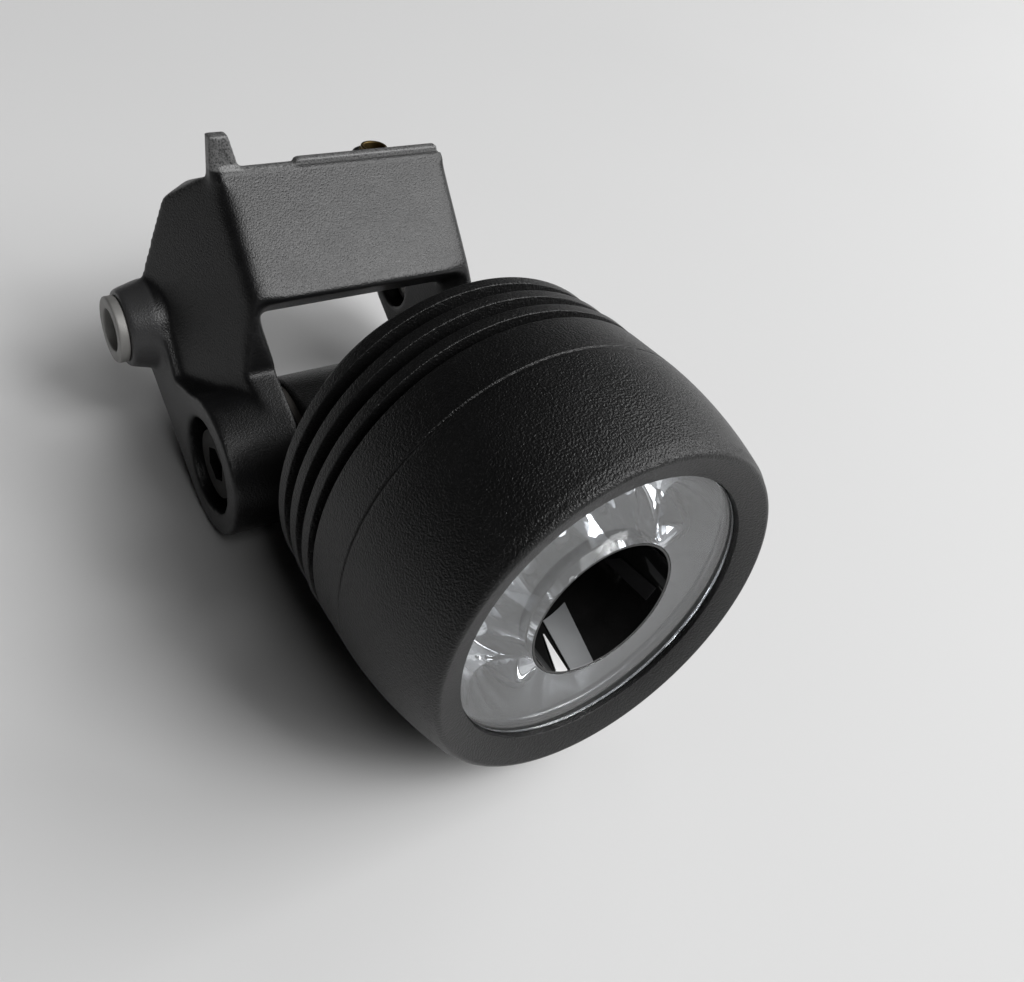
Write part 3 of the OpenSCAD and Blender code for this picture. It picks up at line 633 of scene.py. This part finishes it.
def make_ribs(s, material, front):
    """Cooling ribs as rings that repeat along the beam, each a little smaller."""
    depth = s.groove_depth + s.rib_root
    tree = NodeTree(
        "cooling_ribs", Count=("NodeSocketInt", s.ribs), Radius=("NodeSocketFloat", s.rib_r),
        Fall=("NodeSocketFloat", s.rib_fall), Width=("NodeSocketFloat", s.rib_w),
        Depth=("NodeSocketFloat", depth), Pitch=("NodeSocketFloat", s.groove + s.rib_w),
        Edge=("NodeSocketFloat", s.rib_edge), Material=("NodeSocketMaterial", material))
    spine = tree.node("GeometryNodeCurvePrimitiveCircle", (), {
        "Resolution": 200, "Radius": tree.maths(
            "SUBTRACT", tree.given("Radius"), tree.maths("MULTIPLY", tree.given("Depth"), 0.5))})
    outline = tree.node("GeometryNodeCurvePrimitiveQuadrilateral", (),
                        {"Width": tree.given("Depth"), "Height": tree.given("Width")})
    rounded = tree.node("GeometryNodeFilletCurve", {"mode": "POLY"}, {
        "Curve": outline, "Radius": tree.given("Edge"), "Count": 4})
    ring = tree.node("GeometryNodeCurveToMesh", (), {"Curve": spine, "Profile Curve": rounded})
    line = tree.node("GeometryNodeMeshLine", {"mode": "OFFSET"}, {
        "Count": tree.given("Count"), "Start Location": (0, 0, front),
        "Offset": tree.node("ShaderNodeCombineXYZ", (), {"Z": tree.given("Pitch")})})
    shrink = tree.maths("SUBTRACT", 1.0, tree.maths(
        "MULTIPLY", tree.node("GeometryNodeInputIndex"),
        tree.maths("DIVIDE", tree.given("Fall"), tree.given("Radius"))))
    rings = tree.node("GeometryNodeInstanceOnPoints", (), {
        "Points": line, "Instance": ring,
        "Scale": tree.node("ShaderNodeCombineXYZ", (), {"X": shrink, "Y": shrink, "Z": 1.0})})
    placed = tree.node("GeometryNodeTransform", (), {
        "Geometry": rings, "Rotation": (-math.pi / 2, 0, 0), "Translation": (0, FACE_Y, BEAM_Z)})
    return baked(tree.finish_on(blank("ribs"), placed), "cooling_ribs", material, sharp=40)


def make_lug(p, root_y):
    """Neck and barrel of the housing, as a bored plate with rounded rims."""
    outline = [(root_y, PIVOT_Z + p.barrel_r)]
    outline += [(PIVOT_Y + p.barrel_r * math.sin(a), PIVOT_Z + p.barrel_r * math.cos(a))
                for a in np.linspace(0, math.pi, 49)]
    outline += [(root_y, PIVOT_Z - p.barrel_r + p.neck_rise)]
    bm = bmesh.new()
    face = bm.faces.new([bm.verts.new((-p.lug_half, y, z)) for y, z in outline])
    side = bmesh.ops.extrude_face_region(bm, geom=[face])["geom"]
    bmesh.ops.translate(bm, verts=[v for v in side if isinstance(v, bmesh.types.BMVert)],
                        vec=(2 * p.lug_half, 0, 0))
    rims = [e for e in bm.edges if e.verts[0].co.x * e.verts[1].co.x > 0
            and abs(e.verts[0].co.x - e.verts[1].co.x) < TINY]
    bmesh.ops.bevel(bm, geom=rims, offset=p.lug_round, segments=4, profile=0.5, affect="EDGES")
    lug = as_object(bm, "lug")
    bm = bmesh.new()
    reach = p.lug_half + 1 * MM
    add_turned(bm, [(0, -reach), (p.sleeve_r, -reach), (p.sleeve_r, reach), (0, reach)],
               on_cross(PIVOT_Y, PIVOT_Z), steps=96)
    return combined(lug, as_object(bm, "bore"), "DIFFERENCE", "lug", None)


class LAMP_OT_housing(bpy.types.Operator):
    """Make the ribbed housing behind the seam, with the lug of its tilt pivot"""
    bl_idname = "lamp.housing"
    bl_label = "Housing"

    def execute(self, context):
        s, p = context.scene.lamp_head, context.scene.lamp_pivot
        coat = anodised_finish()
        grooves = SEAM + s.band
        floor_r = s.rib_r - s.groove_depth
        ribs_end = grooves + s.first_groove + (s.ribs - 1) * s.groove + s.ribs * s.rib_w
        back = ribs_end + s.tail
        slim = s.rib_fall * (s.ribs - 1)
        profile = softened(
            [(s.cavity_r, SEAM), (BODY_R, SEAM), (s.rib_r + s.band_rise, grooves),
             (floor_r, grooves), (floor_r - slim, ribs_end), (s.tail_r, ribs_end),
             (s.tail_r, back), (0, back), (0, back - s.wall), (s.cavity_r, back - s.wall)],
            [0, s.edge, s.edge, s.rib_edge, 0, s.rib_edge, s.tail_round, 0, 0, 0], steps=8)
        bm = bmesh.new()
        add_turned(bm, profile, steps=200)
        shell, lug = as_object(bm, "shell"), make_lug(p, FACE_Y + back - s.wall / 2)
        housing = combined(shell, lug, "UNION", "ribbed_housing", coat)
        settle(housing, "head", "body_black", "rear_housing")
        settle(make_ribs(s, coat, grooves + s.first_groove + s.rib_w / 2), "head", "body_black")
        return {"FINISHED"}


class LAMP_OT_bezel(bpy.types.Operator):
    """Make the front bezel with its rounded shoulder and its face, a very shallow funnel"""
    bl_idname = "lamp.bezel"
    bl_label = "Bezel"

    def execute(self, context):
        s = context.scene.lamp_head
        rise = BODY_R - s.face_r
        shoulder_start, edge_end = 0.06, 1.35
        shoulder = [(BODY_R - rise * (1 - t) ** 2, t * SEAM)
                    for t in np.linspace(shoulder_start, 1, 40)]
        edge = [(s.face_r - s.face_round * (1 - math.sin(a)), s.face_round * (1 - math.cos(a)))
                for a in np.linspace(0, edge_end, 10)]
        # The rim's first point is only there to give the round after it its direction
        rim = softened([(BODY_R - 2.5 * s.edge, SEAM - s.edge), shoulder[-1],
                        (s.bezel_bore_r, SEAM)], [0, s.edge, 0])
        inner = [(s.bezel_bore_r, s.lip_depth), (s.window_r, s.lip_depth)]
        window = softened([inner[-1], (s.window_r, s.face_dish), edge[0]], [0, s.window_round, 0])
        bm = bmesh.new()
        add_turned(bm, window[1:-1] + edge + shoulder[1:-1] + rim[1:] + inner, steps=240)
        bezel = as_object(bm, "bezel", bpy.data.materials["anodised_black"], sharp=40)
        settle(bezel, "head", "body_black", "front_bezel")
        return {"FINISHED"}


def make_facets(o):
    """A ring of polished bowls with sharp ridges between them and a dome in each."""
    around, across = 360, 44
    # How blunt the bowls are, the share of their depth by which they rise at the ridges between
    # them, the half steps in one dome radius, and the distance in dome radii where these end
    blunt, ridge_rise, half_steps, steps_end = 0.6, 0.5, 3, 2.4
    first_r, last_r = o.hole_r + 2 * o.fit, o.outer_r - o.fit
    sector = TURN / o.bowls
    bm = bmesh.new()
    grid = []
    for k in range(around):
        angle = TURN * k / around
        off = ((angle - o.first_bowl) / sector + 0.5) % 1 - 0.5
        low = math.floor(off * o.flats)
        ends = [(2 * (low + i) / o.flats) ** 2 for i in (0, 1)]
        ridge = ends[0] + (ends[1] - ends[0]) * (off * o.flats - low)
        row = []
        for j in range(across + 1):
            share = j / across
            r = first_r + (last_r - first_r) * share
            bowl = o.bowl_depth * math.sin(math.pi * share) ** blunt * (1 - ridge_rise * ridge)
            out = math.hypot(r - o.bowl_ring_r, off * sector * r) / o.dome_r
            dome = o.dome_rise * max(0.0, 1 - out ** 2) ** 0.5
            step = o.step_rise * abs((half_steps * out) % 2 - 1) if 1 < out < steps_end else 0.0
            depth = o.plate_back + o.fit + bowl - min(dome + step, bowl)
            row.append([bm.verts.new(on_beam(r, angle, d)) for d in (depth, depth + o.bowl_wall)])
        grid.append(row)
    for k in range(around):
        here, after = grid[k], grid[(k + 1) % around]
        for j in range(across):
            bm.faces.new((here[j][0], here[j + 1][0], after[j + 1][0], after[j][0]))
            bm.faces.new((here[j][1], after[j][1], after[j + 1][1], here[j + 1][1]))
        for j in (0, across):
            bm.faces.new((here[j][0], after[j][0], after[j][1], here[j][1]))
    finish = facet_finish(o.bowl_ring_r, o.outer_r - o.satin_w)
    made = as_object(bm, "optic_facets", finish, sharp=9)
    points, sharp = made.data.vertices, made.data.attributes["sharp_edge"].data
    for edge, mark in zip(made.data.edges, sharp):
        near = points[edge.vertices[0]].co
        if math.hypot(near.x, near.z - BEAM_Z) > o.bowl_ring_r + o.smooth_w:
            mark.value = False
    return made


def wall_patch(bm, r, thick, corners):
    """Adds a thin panel on the inside of a round wall. Corners are (degrees, depth), in order."""
    steps = 16
    grid = []
    (a0, d0), (a1, d1), (a2, d2), (a3, d3) = corners
    for radius in (r, r - thick):
        rows = []
        for t in (0, 1):
            first = (a0 + (a3 - a0) * t, d0 + (d3 - d0) * t)
            last = (a1 + (a2 - a1) * t, d1 + (d2 - d1) * t)
            rows.append([bm.verts.new(on_beam(
                radius, math.radians(first[0] + (last[0] - first[0]) * k / steps),
                first[1] + (last[1] - first[1]) * k / steps)) for k in range(steps + 1)])
        grid.append(rows)
    (wall_top, wall_foot), (top, foot) = grid
    for k in range(steps):
        m = k + 1
        for quad in ((top[k], top[m], foot[m], foot[k]),
                     (wall_top[m], wall_top[k], wall_foot[k], wall_foot[m]),
                     (wall_top[k], wall_top[m], top[m], top[k]),
                     (foot[k], foot[m], wall_foot[m], wall_foot[k])):
            bm.faces.new(quad)
    for k in (0, steps):
        bm.faces.new((top[k], foot[k], wall_foot[k], wall_top[k]))


class LAMP_OT_optic(bpy.types.Operator):
    """Make the clear optic, the polished bowls behind it, and the dark cup with pale strips painted
    as reflections
    """
    bl_idname = "lamp.optic"
    bl_label = "Optic"

    def execute(self, context):
        s, o = context.scene.lamp_head, context.scene.lamp_optic
        bm = bmesh.new()
        add_turned(bm, softened(
            [(o.hole_r, s.lens_set), (o.outer_r, s.lens_set), (o.outer_r, o.flange_front),
             (o.flange_r, o.flange_front), (o.flange_r, o.plate_back), (o.hole_r, o.plate_back)],
            [o.hole_round, o.outer_round, 0, o.flange_round, o.flange_round, 0]), steps=240)
        settle(as_object(bm, "optic", clear_finish()), "head", "clear_optic", "lens")
        settle(make_facets(o), "head", "clear_optic")

        gloss = gloss_finish("core_black", tuple(context.scene.lamp_finishes.core), 0.04, 3 * MM)
        rim, front = o.hole_r - o.cup_slip, s.lens_set + o.fit
        wall_r, foot = rim - o.cup_wall, o.cup_floor + o.cup_wall
        bm = bmesh.new()
        add_turned(bm, softened(
            [(rim, front), (rim, foot), (rim / 2, foot), (rim / 2, o.stem_end), (0, o.stem_end),
             (0, o.cup_floor), (wall_r, o.cup_floor), (wall_r, front)],
            [o.cup_rim_round, o.cup_foot_round, 0, 0, 0, 0, o.cup_floor_round, o.cup_rim_round]))
        settle(as_object(bm, "core_cup", gloss, sharp=40), "head", "core_black", "core_tube")

        # Each painted reflection is a pale panel laid on the inside of the cup's wall
        for name, (base, corners) in PAINTED_REFLECTION_STRIPS.items():
            bm = bmesh.new()
            wall_patch(bm, wall_r - o.cup_slip, o.strip_t,
                       [(angle, max(front, depth * MM)) for angle, depth in corners])
            strip = as_object(bm, name, gloss_finish(name, base, 0.3, 8 * MM))
            settle(strip, "head", "core_black")
        return {"FINISHED"}


def rebuilt(node, voxel):
    """A copy of a CAD node's mesh, rebuilt from small even cells."""
    bm = bmesh.new()
    bm.from_mesh(frame["nodes"][node].data)
    bmesh.ops.remove_doubles(bm, verts=bm.verts, dist=0.0001 * MM)
    mesh = bpy.data.meshes.new("copy")
    bm.to_mesh(mesh)
    bm.free()
    copy = bpy.data.objects.new("copy", mesh)
    bpy.context.scene.collection.objects.link(copy)
    step = copy.modifiers.new("cells", "REMESH")
    step.mode, step.voxel_size, step.adaptivity = "VOXEL", voxel, 0.0
    return baked(copy, "moulded_bracket", None, sharp=180)


def relax(mesh, weights, rounds):
    """Moves each point towards its neighbours' middle, by its own weight."""
    count = len(mesh.vertices)
    co = np.empty(count * 3)
    mesh.vertices.foreach_get("co", co)
    co = co.reshape(-1, 3)
    ends = np.empty(len(mesh.edges) * 2, np.int64)
    mesh.edges.foreach_get("vertices", ends)
    a, b = ends.reshape(-1, 2).T
    links = np.bincount(a, minlength=count) + np.bincount(b, minlength=count)
    for _ in range(rounds):
        middle = np.stack([np.bincount(a, co[b, i], count) + np.bincount(b, co[a, i], count)
                           for i in range(3)], 1) / links[:, None]
        co += (middle - co) * weights(co)[:, None]
    mesh.vertices.foreach_set("co", co.ravel())
    mesh.update()


class LAMP_OT_bracket(bpy.types.Operator):
    """Make the moulded bracket with its softened edges"""
    bl_idname = "lamp.bracket"
    bl_label = "Bracket"

    def execute(self, context):
        b = context.scene.lamp_bracket
        bracket = rebuilt("fork_bracket", b.voxel)
        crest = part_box("fork_bracket")[1].z - b.crest_drop
        full, slight = 0.5, 0.06

        def edges(co):
            """Less rounding on the thin tab and stop"""
            return np.where(co[:, 2] > crest, slight, full)

        def bend(co):
            """Only the bend between the hood's face and each flank"""
            x, y, z = co.T
            near = np.clip(1 - np.abs(np.abs(x) - b.bend_x) / b.bend_w, 0, 1)
            up = np.clip((z - b.bend_foot) / b.bend_foot, 0, 1) * np.clip((crest - z) / MM, 0, 1)
            return full * near * up * (y < -b.bend_front)

        relax(bracket.data, bend, b.bend_rounds)
        relax(bracket.data, edges, b.soft_rounds)
        bracket.data.materials.append(polymer_finish(crest))
        settle(bracket, "bracket", "bracket_polymer", "fork_bracket")
        return {"FINISHED"}


class LAMP_OT_metal(bpy.types.Operator):
    """Make the steel bushes and the brass insert, and finish the pivot's hardware"""
    bl_idname = "lamp.metal"
    bl_label = "Metal pieces"

    def execute(self, context):
        scene = context.scene
        p, i, tones = scene.lamp_pivot, scene.lamp_insert, scene.lamp_finishes
        steel = metal_finish("turned_steel", shade(tones.steel, 0.62), 0.5,
                             stretch=(12, 1, 1), metallic=0.35)
        collar_r = (BUSH_HIGH.z - BUSH_LOW.z) / 2
        fine = p.bush_round
        left, right, inner = BUSH_LOW.x, BUSH_HIGH.x, p.gap_half + p.bush_in
        bm = bmesh.new()
        add_turned(bm, softened(
            [(p.bush_bore, left), (collar_r, left), (collar_r, left + p.collar_t),
             (p.bush_r, left + p.collar_t), (p.bush_r, -p.gap_half), (p.bush_bore, -p.gap_half)],
            [2 * fine, 2 * fine, fine, 0, fine, fine]), on_cross(0, 0), steps=96)
        add_turned(bm, softened(
            [(p.bush_bore, right), (p.bush_r, right), (p.bush_r, inner), (p.bush_bore, inner)],
            [2 * fine, fine, fine, fine]), on_cross(0, 0), steps=96)
        settle(as_object(bm, "cross_bushes", steel), "bracket", "bush_steel", "mount_bushes")

        brass = metal_finish("turned_brass", shade(tones.brass, 0.22), 0.45)
        low, high = INSERT_LOW.z, INSERT_HIGH.z
        middle, r = (INSERT_LOW + INSERT_HIGH) / 2, (INSERT_HIGH.x - INSERT_LOW.x) / 2
        bm = bmesh.new()
        add_turned(bm, softened(
            [(i.bore_r, low), (r - i.knurl, low), (r - i.knurl, high), (i.bore_r, high)],
            [i.foot_round, i.foot_round, i.knurl, i.bore_round]),
            on_upright(middle.x, middle.y), steps=64)
        insert = as_object(bm, "insert_body", brass)
        knurl = bmesh.new()
        bmesh.ops.create_cone(knurl, cap_ends=True, segments=3, radius1=i.ridge_r,
                              radius2=i.ridge_r, depth=high - low - 2 * i.ridge_inset)
        ridge = as_object(knurl, "ridge", brass)
        tree = NodeTree("insert_knurl", Count=("NodeSocketInt", i.ridges),
                        Radius=("NodeSocketFloat", r - i.ridge_r),
                        Material=("NodeSocketMaterial", brass))
        circle = tree.node("GeometryNodeMeshCircle", (), {
            "Vertices": tree.given("Count"), "Radius": tree.given("Radius")})
        turned = tree.node("ShaderNodeCombineXYZ", (), {"Z": tree.maths(
            "MULTIPLY", tree.node("GeometryNodeInputIndex"),
            tree.maths("DIVIDE", TURN, tree.given("Count")))})
        ridges = tree.node("GeometryNodeInstanceOnPoints", (), {
            "Points": circle, "Instance": tree.given("Geometry"), "Rotation": turned})
        placed = tree.node("GeometryNodeTransform", (), {
            "Geometry": ridges, "Translation": middle})
        knurls = baked(tree.finish_on(ridge, placed), "insert_knurl", brass)
        settle(insert, "bracket", "insert_brass", "brass_insert")
        settle(knurls, "bracket", "insert_brass")
        dress(metal_finish("blackened_steel", shade(tones.steel, 0.07), 0.5), "pivot_screw",
              "pivot_nut")
        dress(metal_finish("plain_steel", shade(tones.steel, 0.3), 0.3), "pivot_washers",
              "pivot_sleeve")
        return {"FINISHED"}


class LAMP_OT_inside(bpy.types.Operator):
    """Finish the seals, boards and small parts inside the lamp"""
    bl_idname = "lamp.inside"
    bl_label = "Inner pieces"

    def execute(self, context):
        tones = context.scene.lamp_finishes
        dress(matt_finish("black_rubber", tuple(tones.rubber), 0.72), "lens_gasket", "seam_seal",
              "cable_gland")
        dress(matt_finish("retainer_plastic", (0.02, 0.02, 0.02), 0.55), "lens_retainer")
        dress(matt_finish("friction_fibre", (0.05, 0.045, 0.04), 0.85), "friction_rings")
        dress(diode_finish(), "led_chips")
        dress(board_finish("black_board", (0.012, 0.012, 0.012), (0.6, 0.58, 0.5)), "led_board")
        dress(board_finish("green_board", (0.01, 0.09, 0.03), (0.7, 0.55, 0.25)), "driver_board")
        dress(metal_finish("spreader_aluminium", (0.70, 0.71, 0.72), 0.4), "heat_spreader",
              "driver_capacitors")
        dress(metal_finish("zinc_steel", (0.58, 0.58, 0.60), 0.34), "board_screws", "driver_screws")
        dress(matt_finish("component_black", (0.02, 0.02, 0.02), 0.5), "driver_coil",
              "driver_chips")
        dress(metal_finish("pin_brass", tuple(tones.brass), 0.3), "link_pins")
        return {"FINISHED"}


def add_light(name, towards, size, power):
    """A square light that shines on the part from a direction."""
    light = bpy.data.lights.new(name, "AREA")
    light.shape, light.size, light.energy = "SQUARE", size, power
    made = bpy.data.objects.new(name, light)
    direction = Vector(towards).normalized()
    made.location = Vector(LIGHT_TARGET) + direction * LIGHT_DISTANCE
    made.rotation_mode = "QUATERNION"
    made.rotation_quaternion = direction.to_track_quat("Z", "Y")
    bpy.context.scene.collection.objects.link(made)


class LAMP_OT_stage(bpy.types.Operator):
    """Make the pale floor, the soft lights, the world and the camera"""
    bl_idname = "lamp.stage"
    bl_label = "Stage"

    def execute(self, context):
        scene = context.scene
        f = Finish("floor")
        cloud = f.noise(120 * MM)
        base = tuple(scene.lamp_finishes.floor)
        material = f.surface(Base_Color=f.colour(f.span(cloud, 0.3, 0.7), base, shade(base, 0.98)),
                             Roughness=0.7, Specular_IOR_Level=0.2)
        up = Vector(FLOOR_UP).normalized()
        tilt = up.to_track_quat("Z", "Y").to_matrix().to_4x4()
        bm = bmesh.new()
        bmesh.ops.create_grid(bm, x_segments=2, y_segments=2, size=FLOOR_HALF)
        bmesh.ops.transform(bm, verts=bm.verts,
                            matrix=Matrix.Translation(up * -(LAMP_DROP + FLOOR_GAP)) @ tilt)
        floor = as_object(bm, "floor", material)

        world = bpy.data.worlds.new("studio")
        scene.world = world
        world.use_nodes = True
        tree = world.node_tree
        tree.nodes.clear()
        path = add_node(tree, "ShaderNodeLightPath")
        seen = path.outputs["Is Camera Ray"]
        for ray, share in WORLD_SHARES.items():
            seen = add_node(tree, "ShaderNodeMath", {"operation": "MULTIPLY_ADD"},
                            {0: path.outputs[ray], 1: share, 2: seen}).outputs[0]
        mix = add_node(tree, "ShaderNodeMix", {"data_type": "RGBA"},
                       {0: seen, 6: (0, 0, 0, 1), 7: WORLD_TONE})
        background = add_node(tree, "ShaderNodeBackground", (), {"Color": mix.outputs[2]})
        add_node(tree, "ShaderNodeOutputWorld", (), {"Surface": background.outputs[0]})

        for name, (towards, size, power) in LIGHTS.items():
            add_light(name, towards, size, power)

        camera = bpy.data.cameras.new("camera")
        camera.sensor_width, camera.lens = 36.0, CAMERA_LENS
        camera.clip_start, camera.clip_end = 0.005, 20.0
        eye = bpy.data.objects.new("camera", camera)
        forward = CAMERA_FORWARD.normalized()
        upward = CAMERA_RIGHT.cross(forward).normalized()
        right = forward.cross(upward)
        turn = Matrix((right, upward, -forward)).transposed()
        eye.matrix_world = Matrix.Translation(CAMERA_PLACE) @ turn.to_4x4()
        scene.collection.objects.link(eye)
        scene.camera = eye
        scene.view_settings.view_transform = "Standard"
        return {"FINISHED"}


OPERATORS = (LAMP_OT_housing, LAMP_OT_bezel, LAMP_OT_optic, LAMP_OT_bracket, LAMP_OT_metal,
             LAMP_OT_inside, LAMP_OT_stage)
GROUPS = {"lamp_head": HeadSizes, "lamp_pivot": PivotSizes, "lamp_insert": InsertSizes,
          "lamp_bracket": BracketSizes, "lamp_optic": OpticSizes, "lamp_finishes": Finishes}


class LAMP_PT_panel(bpy.types.Panel):
    """Lists the sizes, the colours and the pieces"""
    bl_idname = "LAMP_PT_panel"
    bl_label = "Headlight"
    bl_space_type = "VIEW_3D"
    bl_region_type = "UI"
    bl_category = "Headlight"

    def draw(self, context):
        for key, group in GROUPS.items():
            box = self.layout.box()
            box.label(text=group.__doc__)
            for prop in group.__annotations__:
                box.prop(getattr(context.scene, key), prop)
        for kind in OPERATORS:
            self.layout.operator(kind.bl_idname)


def register():
    for kind in (*GROUPS.values(), *OPERATORS, LAMP_PT_panel):
        bpy.utils.register_class(kind)
    for key, group in GROUPS.items():
        setattr(bpy.types.Scene, key, PointerProperty(type=group))


def unregister():
    for key in GROUPS:
        delattr(bpy.types.Scene, key)
    for kind in reversed((*GROUPS.values(), *OPERATORS, LAMP_PT_panel)):
        bpy.utils.unregister_class(kind)


def main():
    register()
    for kind in OPERATORS:
        family, name = kind.bl_idname.split(".")
        getattr(getattr(bpy.ops, family), name)()


if __name__ == "__main__":
    main()
